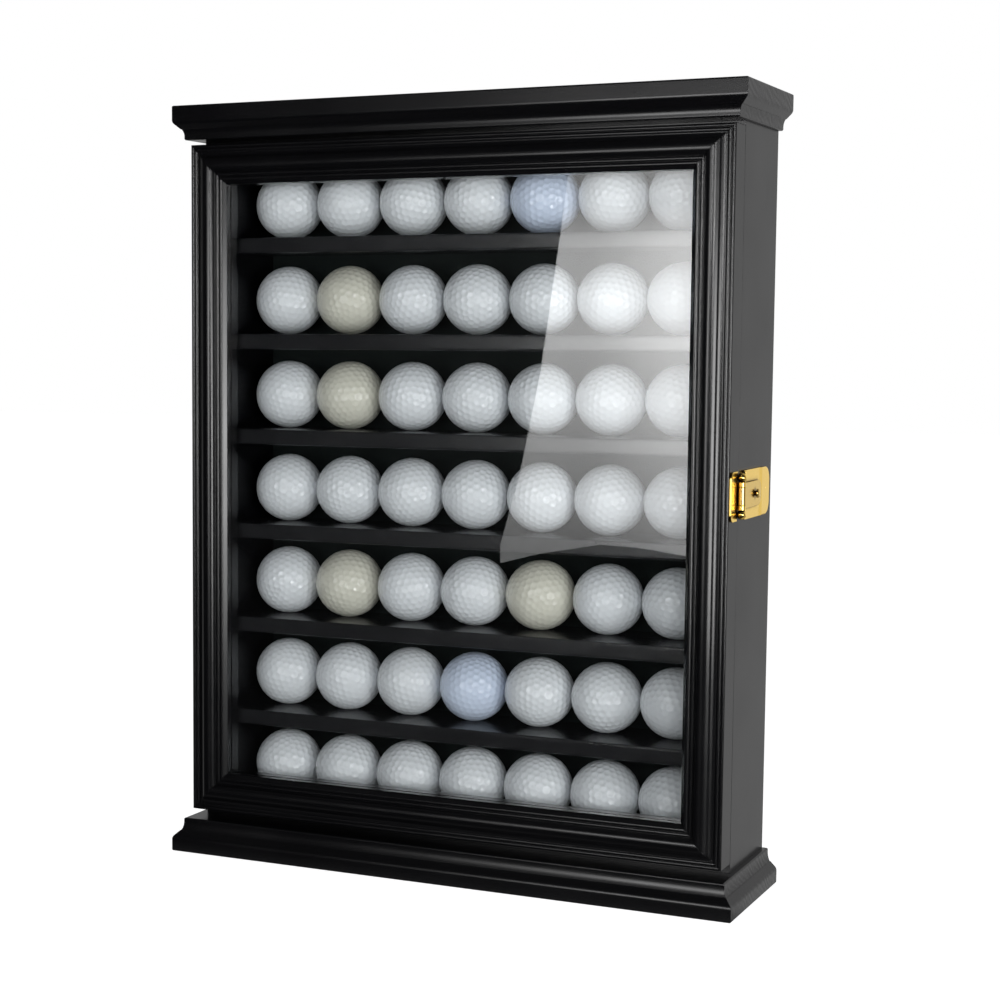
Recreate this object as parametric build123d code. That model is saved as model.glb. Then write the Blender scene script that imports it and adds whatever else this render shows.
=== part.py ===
from build123d import *
from math import cos, radians, sin
import os

# Golf ball display case: a black lacquered wood cabinet with seven shelves' worth of balls behind a
# hinged, glazed, mitred door that a brass hasp keeps shut. Millimetres. X runs to the right, Y to
# the back and Z up. The origin is the centre of the footprint, on the surface that the case stands on.

# ---- driving dimensions -------------------------------------------------------------------------
# carcass
side_thickness = 19.0
shelf_thickness = 9.5
row_count = 7
column_count = 7
dado_depth = 5.0
shelf_setback = 0.8
shelf_nosing = 1.2
back_panel_thickness = 5.0
felt_thickness = 1.2
back_recess = 8.73

# balls
ball_diameter = 42.67
ball_gap = 0.43
ball_end_clearance = 2.865
ball_headroom = 7.23
ball_front_setback = 10.8
ball_back_clearance = 1.0
seat_depth = 0.4
seat_clearance = 0.3

# moulded boards above and below the carcass
base_thickness = 20.8
base_face = 7.6
base_side_overhang = 9.2
base_front_overhang = 10.3
crown_thickness = 20.8
crown_face = 8.8
crown_side_overhang = 8.4
crown_front_overhang = 8.4
shoulder_radius = 3.6
ledge_inset = 3.9
ledge = 0.4
cove_inset = 5.6
cove_upright = 2.4
board_arris = 1.0

# door
door_thickness = 18.1
door_gap = 0.5
door_bottom_gap = 5.4
door_top_gap = 2.8
frame_width = 24.5
frame_relief = 3.4
rebate_width = 5.8
rebate_start = 6.1
glass_thickness = 2.5
glass_clearance = 1.0
bead_clearance = 0.2
bead_round = 2.0
clip_thickness = 0.6
clip_width = 5.0
clip_reach = 5.0
clip_inset = 0.6
lower_clip_height = 112.6
clip_spacing = 180.6

# butt hinges
hinge_height = 38.0
hinge_end_distance = 70.0
hinge_axis_offset = 2.7
hinge_leaf_width = 12.5
hinge_leaf_thickness = 1.0
hinge_leaf_gap = 0.2
knuckle_radius = 2.4
knuckle_clearance = 0.3
hinge_pin_radius = 1.2
pin_clearance = 0.05
pin_head_radius = 2.0
pin_head_height = 0.8
hinge_screw_spacing = 13.0

# hasp on the right side
hasp_height = 28.0
hasp_centre_height = 211.5
hasp_door_plate_inset = 1.3
door_plate_thickness = 1.2
door_plate_corner = 4.0
hasp_barrel_radius = 2.4
hasp_pin_radius = 0.8
finial_radius = 2.7
finial_lift = 0.05
hasp_axis_setback = 15.6
hasp_axis_offset = 3.0
hasp_knuckle_height = 10.0
collar_height = 2.5
knuckle_end_gap = 0.3
tongue_height = 14.4
tongue_reach = 40.0
tongue_thickness = 1.0
tongue_lift = 0.3
tongue_bend = 23.0
tongue_joggle = 0.4
tongue_corner = 5.6
case_plate_start = 8.0
case_plate_length = 48.5
case_plate_thickness = 2.0
case_plate_rise = 0.8
case_plate_ramp = 3.0
case_plate_corner = 8.0
case_plate_rim = 0.8
knob_distance = 27.0
knob_neck = (1.5, 1.2)
knob_head = (2.6, 1.4)
hasp_screw_inset = 6.5

# hanging plates on the back edges of the sides
hanger_height = 42.0
hanger_width = 15.0
hanger_thickness = 1.5
hanger_hole_radius = 4.5
hanger_slot_radius = 2.2
hanger_slot_rise = 11.0
hanger_top_distance = 22.0
hanger_pocket_depth = 5.0
hanger_pocket_margin = 1.0
hanger_screw_inset = 5.0

# countersunk wood screws: shank radius, head radius, length
small_screw = (1.1, 2.2, 10.0)
hasp_screw = (0.9, 1.8, 8.0)
hanger_screw = (1.2, 2.4, 14.0)
board_screw = (2.0, 4.0, 36.0)
ceiling_screw = (2.0, 4.0, 25.0)
screw_clearance = 0.05
screw_edge_distance = 16.0

# ---- places worked out from them ----------------------------------------------------------------
ball_radius = ball_diameter / 2
ball_pitch = ball_diameter + ball_gap
shelf_opening = ball_diameter + ball_headroom
inner_width = column_count * ball_pitch - ball_gap + 2 * ball_end_clearance
case_width = inner_width + 2 * side_thickness
case_depth = (ball_front_setback + ball_diameter + ball_back_clearance + felt_thickness
              + back_panel_thickness + back_recess)
total_depth = base_front_overhang + door_thickness + door_gap + case_depth
back_y = total_depth / 2
case_front_y = back_y - case_depth
door_back_y = case_front_y - door_gap
door_front_y = door_back_y - door_thickness
half_width = case_width / 2
inner_half = inner_width / 2
case_height = (row_count + 1) * shelf_thickness + row_count * shelf_opening
case_bottom = base_thickness
case_top = case_bottom + case_height
door_bottom = case_bottom + door_bottom_gap
door_top = case_top - door_top_gap
door_height = door_top - door_bottom
row_pitch = shelf_thickness + shelf_opening
ball_y = case_front_y + ball_front_setback + ball_radius
felt_front_y = ball_y + ball_radius + ball_back_clearance
panel_front_y = felt_front_y + felt_thickness
groove_back_y = panel_front_y + back_panel_thickness
ball_lift = ball_radius + seat_clearance - seat_depth
side_centre = inner_half + side_thickness / 2

os.makedirs("parts", exist_ok=True)
parts = {}


# ---- helpers ------------------------------------------------------------------------------------
def block(x, y, z):
    """A box between two limits on each axis."""
    size = [b - a for a, b in (x, y, z)]
    centre = [(a + b) / 2 for a, b in (x, y, z)]
    return Pos(*centre) * Box(*size)


def rod(radius, start, end, toward):
    """A cylinder between two points of one axis, whose direction is toward."""
    return extrude(Plane(origin=start, z_dir=toward) * Circle(radius), (Vector(end) - Vector(start)).length)


def screw(size, place, inward, clearance=0.0):
    """A countersunk screw with its head's face at place, driven along inward.

    With a clearance it is the hole that the screw goes in.
    """
    shank, head, length = size
    r, h = shank + clearance, head + clearance
    cone = head - shank
    tip = length - 1.5 * shank
    outline = Polyline((0, 0), (h, 0), (r, cone), (r, tip), (0, length + clearance), close=True)
    body = revolve(make_face(Plane.XZ * outline), Axis.Z)
    return Plane(origin=place, z_dir=inward) * body


def screws(size, places, inward):
    """A group of screws, and the group of holes they need."""
    group = Compound(children=[screw(size, p, inward) for p in places])
    holes = [screw(size, p, inward, screw_clearance) for p in places]
    return group, holes


def cut(node, tools):
    """Takes the tools out of one finished node."""
    for tool in tools:
        parts[node] = parts[node] - tool


# ---- moulded boards -----------------------------------------------------------------------------
def slab(width, depth, thickness, face):
    """A slab with a moulded front edge at y = 0. From below: a flat face, a round shoulder, a slope
    in at 45 degrees, a small ledge, and a cove that ends upright."""
    a, r = board_arris, shoulder_radius
    slope_start = (r - r * cos(radians(45)), face + r * sin(radians(45)))
    ledge_rise = slope_start[1] + ledge_inset - slope_start[0]
    cove_top = (cove_inset, thickness - cove_upright)
    edge = [
        Line((a, 0), (depth, 0)),
        Line((depth, 0), (depth, thickness)),
        Line((depth, thickness), (cove_inset + a, thickness)),
        CenterArc((cove_inset + a, thickness - a), a, 90, 90),
        Line((cove_inset, thickness - a), cove_top),
        TangentArc(cove_top, (ledge_inset + ledge, ledge_rise), tangent=(0, -1)),
        Line((ledge_inset + ledge, ledge_rise), (ledge_inset, ledge_rise)),
        Line((ledge_inset, ledge_rise), slope_start),
        CenterArc((r, face), r, 135, 45),
        Line((0, face), (0, a)),
        CenterArc((a, a), a, 180, 90),
    ]
    return Pos(-width / 2, 0, 0) * extrude(Plane.YZ * make_face(edge), width)


def moulded_board(side_overhang, front_overhang, thickness, face):
    """A board moulded on its front and both ends, the profiles meeting in mitred corners."""
    width = case_width + 2 * side_overhang
    front_y = door_front_y - front_overhang
    depth = back_y - front_y
    front = Pos(0, front_y, 0) * slab(width, depth, thickness, face)
    long = 4 * depth
    right = Pos(width / 2, 0, 0) * Rot(0, 0, 90) * slab(long, width, thickness, face)
    left = Pos(-width / 2, 0, 0) * Rot(0, 0, -90) * slab(long, width, thickness, face)
    return front & right & left


parts["base_board"] = moulded_board(base_side_overhang, base_front_overhang, base_thickness, base_face)
crown = moulded_board(crown_side_overhang, crown_front_overhang, crown_thickness, crown_face)
parts["crown_board"] = Pos(0, 0, case_top + crown_thickness) * Rot(0, 180, 0) * crown


# ---- carcass ------------------------------------------------------------------------------------
def board_z(index):
    """The underside of board number index, from the case floor (0) to the case ceiling."""
    return case_bottom + index * row_pitch


def cross_board(index, nosing):
    """A board that spans the case between its dadoes."""
    reach = inner_half + dado_depth
    z = board_z(index)
    front_y = case_front_y + (shelf_setback if nosing else 0)
    rear_y = felt_front_y if nosing else back_y
    board = block((-reach, reach), (front_y, rear_y), (z, z + shelf_thickness))
    if nosing:
        board = fillet(board.edges().filter_by(Axis.X).group_by(Axis.Y)[0], shelf_nosing)
    return board


def ball_places(row):
    """Centres of the balls that stand on board number row."""
    z = board_z(row) + shelf_thickness + ball_lift
    middle = (column_count - 1) / 2
    return [((i - middle) * ball_pitch, ball_y, z) for i in range(column_count)]


def side(sign):
    """One case side, with a dado for each board and a groove for the back panel."""
    outer, inner = sign * half_width, sign * inner_half
    dado_bottom = sign * (inner_half + dado_depth)
    panel = block(sorted((inner, outer)), (case_front_y, back_y), (case_bottom, case_top))
    span = sorted((inner, dado_bottom))
    for index in range(row_count + 1):
        shelf = 0 < index < row_count
        front = case_front_y + (shelf_setback if shelf else 0)
        rear = felt_front_y if shelf else back_y
        z = board_z(index)
        panel -= block(span, (front, rear), (z, z + shelf_thickness))
    groove_z = (board_z(0) + shelf_thickness - dado_depth, board_z(row_count) + dado_depth)
    return panel - block(span, (panel_front_y, groove_back_y), groove_z)


parts["left_side"] = side(-1)
parts["right_side"] = side(1)
parts["case_floor"] = cross_board(0, False)
parts["case_ceiling"] = cross_board(row_count, False)
for shelf_number in range(1, row_count):
    parts[f"shelf_{shelf_number}"] = cross_board(shelf_number, True)

floor_top = board_z(0) + shelf_thickness
ceiling_bottom = board_z(row_count)
panel_reach = inner_half + dado_depth
groove = block((-panel_reach, panel_reach), (panel_front_y, groove_back_y),
               (floor_top - dado_depth, ceiling_bottom + dado_depth))
for node in ("case_floor", "case_ceiling"):
    parts[node] -= groove
parts["back_panel"] = groove
parts["back_felt"] = block((-inner_half, inner_half), (felt_front_y, panel_front_y),
                           (floor_top, ceiling_bottom))

seat_radius = ball_radius + seat_clearance
for row in range(row_count):
    places = ball_places(row)
    shelf_node = f"shelf_{row}" if row else "case_floor"
    cut(shelf_node, [Pos(*p) * Sphere(seat_radius) for p in places])
    parts[f"ball_row_{row + 1}"] = Compound(children=[Pos(*p) * Sphere(ball_radius) for p in places])


# ---- door ---------------------------------------------------------------------------------------
def frame_section():
    """Section of the door moulding: two reeds, a cove, a torus, two small reeds and a slope to the
    sight edge. Across: distance in from the outer edge. Up: distance behind the rim's face, so
    what stands proud of the rim is below zero."""
    w, t = frame_width, door_thickness
    rebate = w - rebate_width
    crest = (0.53 * w, -frame_relief)
    cove_end = (8.5, -0.53 * frame_relief)
    torus_end = (w - 7.7, -0.8)
    return [
        Line((0, t), (0, 0.9)),
        ThreePointArc((0, 0.9), (1.1, 0), (2.2, 0.55)),
        ThreePointArc((2.2, 0.55), (3.5, -0.3), (4.7, 0.55)),
        Line((4.7, 0.55), (5.2, 0.55)),
        ThreePointArc((5.2, 0.55), (7.1, -0.3), cove_end),
        TangentArc(crest, cove_end, tangent=(-1, 0)),
        TangentArc(crest, torus_end, tangent=(1, 0)),
        Line(torus_end, (w - 7.2, 0)),
        ThreePointArc((w - 7.2, 0), (w - 6.0, -0.7), (w - 4.7, 0.1)),
        ThreePointArc((w - 4.7, 0.1), (w - 3.3, -0.8), (w - 1.9, 0)),
        Line((w - 1.9, 0), (w, 2.0)),
        Line((w, 2.0), (w, rebate_start)),
        Line((w, rebate_start), (rebate, rebate_start)),
        Line((rebate, rebate_start), (rebate, t)),
        Line((rebate, t), (0, t)),
    ]


def bead_section():
    """Section of the glazing bead that holds the glass in its rebate, in the same directions."""
    front, rear = rebate_start + glass_thickness, door_thickness
    outer, inner, r = frame_width - rebate_width + bead_clearance, frame_width, bead_round
    return [
        Line((outer, rear), (outer, front)),
        Line((outer, front), (inner, front)),
        Line((inner, front), (inner, rear - r)),
        CenterArc((inner - r, rear - r), r, 0, 90),
        Line((inner - r, rear), (outer, rear)),
    ]


def mitred(section, length):
    """A length of moulding along X, its outer edge at z = 0, cut at 45 degrees at both ends."""
    across_to_up = Plane(origin=(length / 2, 0, 0), x_dir=(0, 0, 1), z_dir=(-1, 0, 0))
    stick = extrude(across_to_up * make_face(section), length)
    half, w = length / 2, frame_width
    ends = Polyline((-half, 0), (half, 0), (half - w, w), (-half + w, w), close=True)
    wedge = extrude(Plane.XZ * make_face(ends), 2 * door_thickness, both=True)
    return stick & wedge


def around(section, names):
    """The four members of one mitred rectangle as big as the door."""
    bottom, top, left, right = names
    rail, stile = mitred(section, case_width), mitred(section, door_height)
    middle = (door_bottom + door_top) / 2
    parts[bottom] = Pos(0, door_front_y, door_bottom) * rail
    parts[top] = Pos(0, door_front_y, door_top) * Rot(0, 180, 0) * rail
    parts[left] = Pos(-half_width, door_front_y, middle) * Rot(0, 90, 0) * stile
    parts[right] = Pos(half_width, door_front_y, middle) * Rot(0, -90, 0) * stile


around(frame_section(), ("door_bottom_rail", "door_top_rail", "door_left_stile", "door_right_stile"))
around(bead_section(), ("bottom_glazing_bead", "top_glazing_bead", "left_glazing_bead", "right_glazing_bead"))

glass_inset = frame_width - rebate_width + glass_clearance
glass_front_y = door_front_y + rebate_start
glass_back_y = glass_front_y + glass_thickness
parts["glass_pane"] = block((glass_inset - half_width, half_width - glass_inset), (glass_front_y, glass_back_y),
                            (door_bottom + glass_inset, door_top - glass_inset))

# flat spring clips let into the beads, their tips showing at the edge of the glass
clips = []
clip_inner = half_width - frame_width + clip_inset
for sign in (-1, 1):
    for z in (door_bottom + lower_clip_height, door_bottom + lower_clip_height + clip_spacing):
        clips.append(block(sorted((sign * clip_inner, sign * (clip_inner + clip_reach))),
                           (glass_back_y, glass_back_y + clip_thickness),
                           (z - clip_width / 2, z + clip_width / 2)))
for node in ("left_glazing_bead", "right_glazing_bead"):
    cut(node, clips)
parts["glazing_clips"] = Compound(children=clips)


# ---- butt hinges --------------------------------------------------------------------------------
hinge_x = -half_width - hinge_axis_offset
hinge_y = case_front_y - door_gap / 2
knuckle_height = (hinge_height - 2 * knuckle_clearance) / 3
hinge_bore = hinge_pin_radius + pin_clearance
leaf_start = hinge_x + knuckle_radius + knuckle_clearance
leaf_end = -half_width + hinge_leaf_width


def hinge_leaf(side_of_gap, knuckle_spans, z):
    """One leaf. side_of_gap is 1 for the case's leaf, behind the gap, and -1 for the door's."""
    near = hinge_y + side_of_gap * hinge_leaf_gap / 2
    far = near + side_of_gap * hinge_leaf_thickness
    y = sorted((near, far))
    leaf = block((leaf_start, leaf_end), y, (z - hinge_height / 2, z + hinge_height / 2))
    mortise = leaf
    for low, high in knuckle_spans:
        span = (z + low, z + high)
        leaf += block((hinge_x, leaf_start), y, span)
        leaf += rod(knuckle_radius, (hinge_x, hinge_y, span[0]), (hinge_x, hinge_y, span[1]), (0, 0, 1))
        leaf -= rod(hinge_bore, (hinge_x, hinge_y, span[0]), (hinge_x, hinge_y, span[1]), (0, 0, 1))
    return leaf, mortise


door_screws, case_screws = [], []
for name, z in (("lower", door_bottom + hinge_end_distance), ("upper", door_top - hinge_end_distance)):
    half = hinge_height / 2
    outer_spans = [(-half, -half + knuckle_height), (half - knuckle_height, half)]
    inner_span = [(-knuckle_height / 2, knuckle_height / 2)]
    case_leaf, case_mortise = hinge_leaf(1, outer_spans, z)
    door_leaf, door_mortise = hinge_leaf(-1, inner_span, z)
    parts[f"{name}_hinge_case_leaf"] = case_leaf
    parts[f"{name}_hinge_door_leaf"] = door_leaf
    cut("left_side", [case_mortise])
    cut("door_left_stile", [door_mortise])
    pin = rod(hinge_pin_radius, (hinge_x, hinge_y, z - half), (hinge_x, hinge_y, z + half), (0, 0, 1))
    head = rod(pin_head_radius, (hinge_x, hinge_y, z + half), (hinge_x, hinge_y, z + half + pin_head_height),
               (0, 0, 1))
    parts[f"{name}_hinge_pin"] = pin + head
    screw_x = (leaf_start + leaf_end) / 2
    for direction, places in ((1, case_screws), (-1, door_screws)):
        face_y = hinge_y + direction * hinge_leaf_gap / 2
        places += [(screw_x, face_y, z + k * hinge_screw_spacing) for k in (-1, 0, 1)]

for group, places, inward, nodes in (
    ("hinge_case_screws", case_screws, (0, 1, 0),
     ("left_side", "lower_hinge_case_leaf", "upper_hinge_case_leaf")),
    ("hinge_door_screws", door_screws, (0, -1, 0),
     ("door_left_stile", "lower_hinge_door_leaf", "upper_hinge_door_leaf")),
):
    parts[group], holes = screws(small_screw, places, inward)
    for node in nodes:
        cut(node, holes)


# ---- hasp ---------------------------------------------------------------------------------------
hasp_z = door_bottom + hasp_centre_height
hasp_x = half_width + hasp_axis_offset
hasp_y = door_front_y + hasp_axis_setback
hasp_half = hasp_height / 2
hasp_span = (hasp_z - hasp_half, hasp_z + hasp_half)
hasp_bore = hasp_pin_radius + pin_clearance
collar_start = hasp_knuckle_height / 2 + knuckle_end_gap
collar_end = collar_start + collar_height


def barrel(low, high, radius):
    return rod(radius, (hasp_x, hasp_y, hasp_z + low), (hasp_x, hasp_y, hasp_z + high), (0, 0, 1))


def corners(plate, which, radius):
    """Rounds the front (0) or rear (-1) corners of a plate that lies on the case's side."""
    return fillet(plate.edges().filter_by(Axis.X).group_by(Axis.Y)[which], radius)


# door plate with two collars that carry the pin
door_plate_front = door_front_y + hasp_door_plate_inset
door_plate_rear = hasp_y - hasp_barrel_radius
door_plate_face = half_width + door_plate_thickness
door_plate = corners(block((half_width, door_plate_face), (door_plate_front, door_plate_rear), hasp_span),
                     0, door_plate_corner)
for sign in (-1, 1):
    low, high = sorted((sign * collar_start, sign * collar_end))
    arm = block((half_width, door_plate_face), (door_plate_rear - door_plate_thickness, hasp_y),
                (hasp_z + low, hasp_z + high))
    door_plate += arm + barrel(low, high, hasp_barrel_radius)
parts["hasp_door_plate"] = door_plate - barrel(-collar_end, collar_end, hasp_bore)

# pin with a ball finial at each end
finial_z = collar_end + (finial_radius ** 2 - hasp_bore ** 2) ** 0.5 + finial_lift
pin = barrel(-finial_z, finial_z, hasp_pin_radius)
for sign in (-1, 1):
    pin += Pos(hasp_x, hasp_y, hasp_z + sign * finial_z) * Sphere(finial_radius)
parts["hasp_pin"] = pin

# case plate: flat under the tongue, then a ramp up to a thicker rounded end, its rim softened
plate_y = case_front_y + case_plate_start
plate_end = plate_y + case_plate_length
ramp_end = hasp_y + tongue_reach + case_plate_ramp + knuckle_end_gap
low_x, high_x = case_plate_thickness, case_plate_thickness + case_plate_rise
outline = Polyline((0, plate_y), (low_x, plate_y), (low_x, ramp_end - case_plate_ramp), (high_x, ramp_end),
                   (high_x, plate_end), (0, plate_end), close=True)
case_plate = Pos(half_width, 0, hasp_span[0]) * extrude(make_face(outline), hasp_height)
case_plate = corners(case_plate, -1, case_plate_corner)
outer_faces = case_plate.faces().filter_by(Axis.X).sort_by(Axis.X)[-1]
parts["hasp_case_plate"] = fillet(outer_faces.edges().filter_by(lambda e: e.center().Y > ramp_end + 0.1),
                                  case_plate_rim)

# tongue: knuckle, flat, a joggle at the bend, and a rounded end with a finger knob
tongue_x = half_width + case_plate_thickness + tongue_lift
raised_x = tongue_x + tongue_joggle
tongue_half = tongue_height / 2
tongue_span = (hasp_z - tongue_half, hasp_z + tongue_half)
knuckle_half = hasp_knuckle_height / 2
clear_y = hasp_y + finial_radius + knuckle_end_gap
bend_y = hasp_y + tongue_bend
neck = block((raised_x, raised_x + tongue_thickness), (hasp_y, clear_y), (hasp_z - knuckle_half, hasp_z + knuckle_half))
flat = block((raised_x, raised_x + tongue_thickness), (clear_y, bend_y), tongue_span)
end = corners(block((tongue_x, tongue_x + tongue_thickness),
                    (bend_y - tongue_thickness, hasp_y + tongue_reach), tongue_span), -1, tongue_corner)
knob_base = (tongue_x, hasp_y + knob_distance, hasp_z)
knob = Pos(*knob_base) * Rot(0, 90, 0) * (
    extrude(Circle(knob_neck[0]), tongue_thickness + knob_neck[1])
    + Pos(0, 0, tongue_thickness + knob_neck[1]) * fillet(extrude(Circle(knob_head[0]), knob_head[1]).edges()
                                                          .sort_by(Axis.Z)[-1], 0.8 * knob_head[1]))
tongue = neck + flat + end + knob + barrel(-knuckle_half, knuckle_half, hasp_barrel_radius)
parts["hasp_tongue"] = tongue - barrel(-knuckle_half, knuckle_half, hasp_bore)

# screws: two in the door plate, two in the case plate where the closed tongue hides them
door_screw_y = (door_plate_front + door_plate_rear) / 2 - door_plate_thickness
places = [(door_plate_face, door_screw_y, hasp_z + k * (hasp_half - hasp_screw_inset)) for k in (-1, 1)]
parts["hasp_door_screws"], holes = screws(hasp_screw, places, (-1, 0, 0))
for node in ("hasp_door_plate", "door_right_stile"):
    cut(node, holes)
places = [(half_width + case_plate_thickness, y, hasp_z)
          for y in (plate_y + hasp_screw_inset, ramp_end - case_plate_ramp - hasp_screw_inset)]
parts["hasp_case_screws"], holes = screws(hasp_screw, places, (-1, 0, 0))
for node in ("hasp_case_plate", "right_side"):
    cut(node, holes)


# ---- hanging plates -----------------------------------------------------------------------------
def keyhole(radius, slot_radius, depth):
    """A round entry with a slot that rises from it, cut forward from the case's back."""
    entry = Circle(radius)
    slot = Pos(0, hanger_slot_rise / 2) * Rectangle(2 * slot_radius, hanger_slot_rise)
    top = Pos(0, hanger_slot_rise) * Circle(slot_radius)
    return extrude(Plane.XZ * (entry + slot + top), depth)


hanger_places = []
for name, sign in (("left", -1), ("right", 1)):
    x = sign * side_centre
    top = case_top - hanger_top_distance
    middle = top - hanger_height / 2
    recess_y = back_y - hanger_thickness
    plate = block((x - hanger_width / 2, x + hanger_width / 2), (recess_y, back_y), (top - hanger_height, top))
    plate = fillet(plate.edges().filter_by(Axis.Y), 3.0)
    entry_z = middle - hanger_slot_rise / 2
    pocket = keyhole(hanger_hole_radius + hanger_pocket_margin, hanger_slot_radius + 2 * hanger_pocket_margin,
                     hanger_pocket_depth)
    cut(f"{name}_side", [plate, Pos(x, recess_y, entry_z) * pocket])
    hole = keyhole(hanger_hole_radius, hanger_slot_radius, hanger_thickness)
    parts[f"{name}_hanger"] = plate - Pos(x, back_y, entry_z) * hole
    places = [(x, back_y, z) for z in (top - hanger_screw_inset, top - hanger_height + hanger_screw_inset)]
    hanger_places += places
    holes = screws(hanger_screw, places, (0, -1, 0))[1]
    cut(f"{name}_side", holes)
    cut(f"{name}_hanger", holes)
parts["hanger_screws"] = screws(hanger_screw, hanger_places, (0, -1, 0))[0]


# ---- screws that hold the moulded boards --------------------------------------------------------
screw_y = (case_front_y + screw_edge_distance, back_y - screw_edge_distance)
base_places = [(sign * side_centre, y, 0) for sign in (-1, 1) for y in screw_y]
parts["base_screws"], holes = screws(board_screw, base_places, (0, 0, 1))
for node in ("base_board", "left_side", "right_side"):
    cut(node, holes)
ceiling_x = inner_half - 2 * screw_edge_distance
crown_places = [(sign * ceiling_x, y, ceiling_bottom) for sign in (-1, 1)
                for y in (screw_y[0], felt_front_y - screw_edge_distance)]
parts["crown_screws"], holes = screws(ceiling_screw, crown_places, (0, 0, 1))
for node in ("case_ceiling", "crown_board"):
    cut(node, holes)

for node, shape in parts.items():
    export_step(shape, f"parts/{node}.step")
print("width", round(case_width + 2 * base_side_overhang, 1), "depth", round(total_depth, 1),
      "height", round(case_top + crown_thickness, 1), "nodes", len(parts))
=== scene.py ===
"""Golf ball display case: finishes for the packed CAD model, dimpled balls, fastenings and a studio.

Lengths are in metres, as Blender has them. Those that are written in millimetres are multiplied by MM
where they are used; they are the fine sizes of finishes, dimples and screws.
"""

from math import cos, pi, radians, sin, tau

import bmesh
import bpy
from bpy.props import FloatProperty, FloatVectorProperty, IntProperty, PointerProperty
from mathutils import Matrix, Vector
from mathutils.kdtree import KDTree


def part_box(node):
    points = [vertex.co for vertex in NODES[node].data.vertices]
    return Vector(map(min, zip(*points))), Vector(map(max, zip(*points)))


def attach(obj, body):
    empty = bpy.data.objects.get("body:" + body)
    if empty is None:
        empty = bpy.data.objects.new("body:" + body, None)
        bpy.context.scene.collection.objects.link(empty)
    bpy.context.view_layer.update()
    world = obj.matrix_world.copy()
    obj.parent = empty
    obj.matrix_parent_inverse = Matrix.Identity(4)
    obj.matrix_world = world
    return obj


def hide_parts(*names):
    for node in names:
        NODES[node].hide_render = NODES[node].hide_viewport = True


bl_info = {
    "name": "Golf Ball Display Case",
    "version": (1, 0, 0),
    "blender": (4, 5, 0),
    "location": "View3D > Sidebar > Display Case",
    "description": "Dresses a golf ball display case and sets it in a plain studio",
    "category": "Object",
}

MM = 0.001
# corners nearer to each other than this are one
JOINED = 1e-6
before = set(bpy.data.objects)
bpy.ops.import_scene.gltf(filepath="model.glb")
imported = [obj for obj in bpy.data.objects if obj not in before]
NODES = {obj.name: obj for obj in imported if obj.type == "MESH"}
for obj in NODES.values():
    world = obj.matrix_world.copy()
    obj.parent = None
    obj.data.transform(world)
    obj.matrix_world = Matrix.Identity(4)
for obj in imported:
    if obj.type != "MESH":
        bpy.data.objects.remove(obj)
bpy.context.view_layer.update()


# ---- small helpers ------------------------------------------------------------------------------
def linear(code):
    """An sRGB hex code as the linear colour that shaders work in."""
    channels = [int(code[i : i + 2], 16) / 255 for i in (1, 3, 5)]
    return tuple(c / 12.92 if c <= 0.04045 else ((c + 0.055) / 1.055) ** 2.4 for c in channels) + (1.0,)


def add(tree, kind, inputs=None, **settings):
    """Adds a node. inputs gives each socket, by name or number, a value or the socket that feeds it."""
    node = tree.nodes.new(kind)
    for name, value in settings.items():
        setattr(node, name, value)
    for key, value in (inputs or {}).items():
        if isinstance(value, bpy.types.NodeSocket):
            tree.links.new(value, node.inputs[key])
        else:
            node.inputs[key].default_value = value
    return node


def new_material(name):
    """An empty node material: its tree and its output node."""
    material = bpy.data.materials.new(name)
    material.use_nodes = True
    tree = material.node_tree
    tree.nodes.clear()
    return material, tree, add(tree, "ShaderNodeOutputMaterial")


def dress(node, material):
    """Puts a material on a CAD node, or on a piece that stands for one."""
    piece = NODES[node] if isinstance(node, str) else node
    piece.data.materials.clear()
    piece.data.materials.append(material)


def make_object(name, mesh):
    piece = bpy.data.objects.new(name, mesh)
    bpy.context.scene.collection.objects.link(piece)
    return piece


def mesh_of(shape, name):
    """A new mesh of a bmesh, which is freed."""
    mesh = bpy.data.meshes.new(name)
    shape.to_mesh(mesh)
    shape.free()
    return mesh


def shade_smooth(mesh):
    mesh.polygons.foreach_set("use_smooth", [True] * len(mesh.polygons))


def solids_of(node):
    """The separate solids of a CAD node, each as the list of its corner points."""
    shape = bmesh.new()
    shape.from_mesh(NODES[node].data)
    bmesh.ops.remove_doubles(shape, verts=shape.verts, dist=JOINED)
    found, seen = [], set()
    for start in shape.verts:
        if start in seen:
            continue
        group, front = [], [start]
        seen.add(start)
        while front:
            vert = front.pop()
            group.append(vert.co.copy())
            for edge in vert.link_edges:
                other = edge.other_vert(vert)
                if other not in seen:
                    seen.add(other)
                    front.append(other)
        found.append(group)
    shape.free()
    return found


def copying_tree(name, pattern, finish):
    """Starts a Geometry Nodes tree that copies an object. pattern and finish name its inputs for the
    object and for its material. Gives the tree and its input node."""
    tree = bpy.data.node_groups.new(name, "GeometryNodeTree")
    for socket, kind in (
            ("Geometry", "Geometry"), (pattern, "Object"), ("Seed", "Int"), (finish, "Material")):
        tree.interface.new_socket(socket, in_out="INPUT", socket_type="NodeSocket" + kind)
    tree.interface.new_socket("Geometry", in_out="OUTPUT", socket_type="NodeSocketGeometry")
    return tree, add(tree, "NodeGroupInput")


def end_with_copies(tree, given, pattern, rotation, finish):
    """Ends that tree: a copy on each point, turned by rotation, made real and given its material."""
    source = add(tree, "GeometryNodeObjectInfo", {"Object": given.outputs[pattern]})
    copies = add(tree, "GeometryNodeInstanceOnPoints", {
        "Points": given.outputs["Geometry"], "Instance": source.outputs["Geometry"], "Rotation": rotation})
    real = add(tree, "GeometryNodeRealizeInstances", {"Geometry": copies.outputs[0]})
    finished = add(tree, "GeometryNodeSetMaterial", {
        "Geometry": real.outputs[0], "Material": given.outputs[finish]})
    add(tree, "NodeGroupOutput", {"Geometry": finished.outputs[0]})


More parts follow.
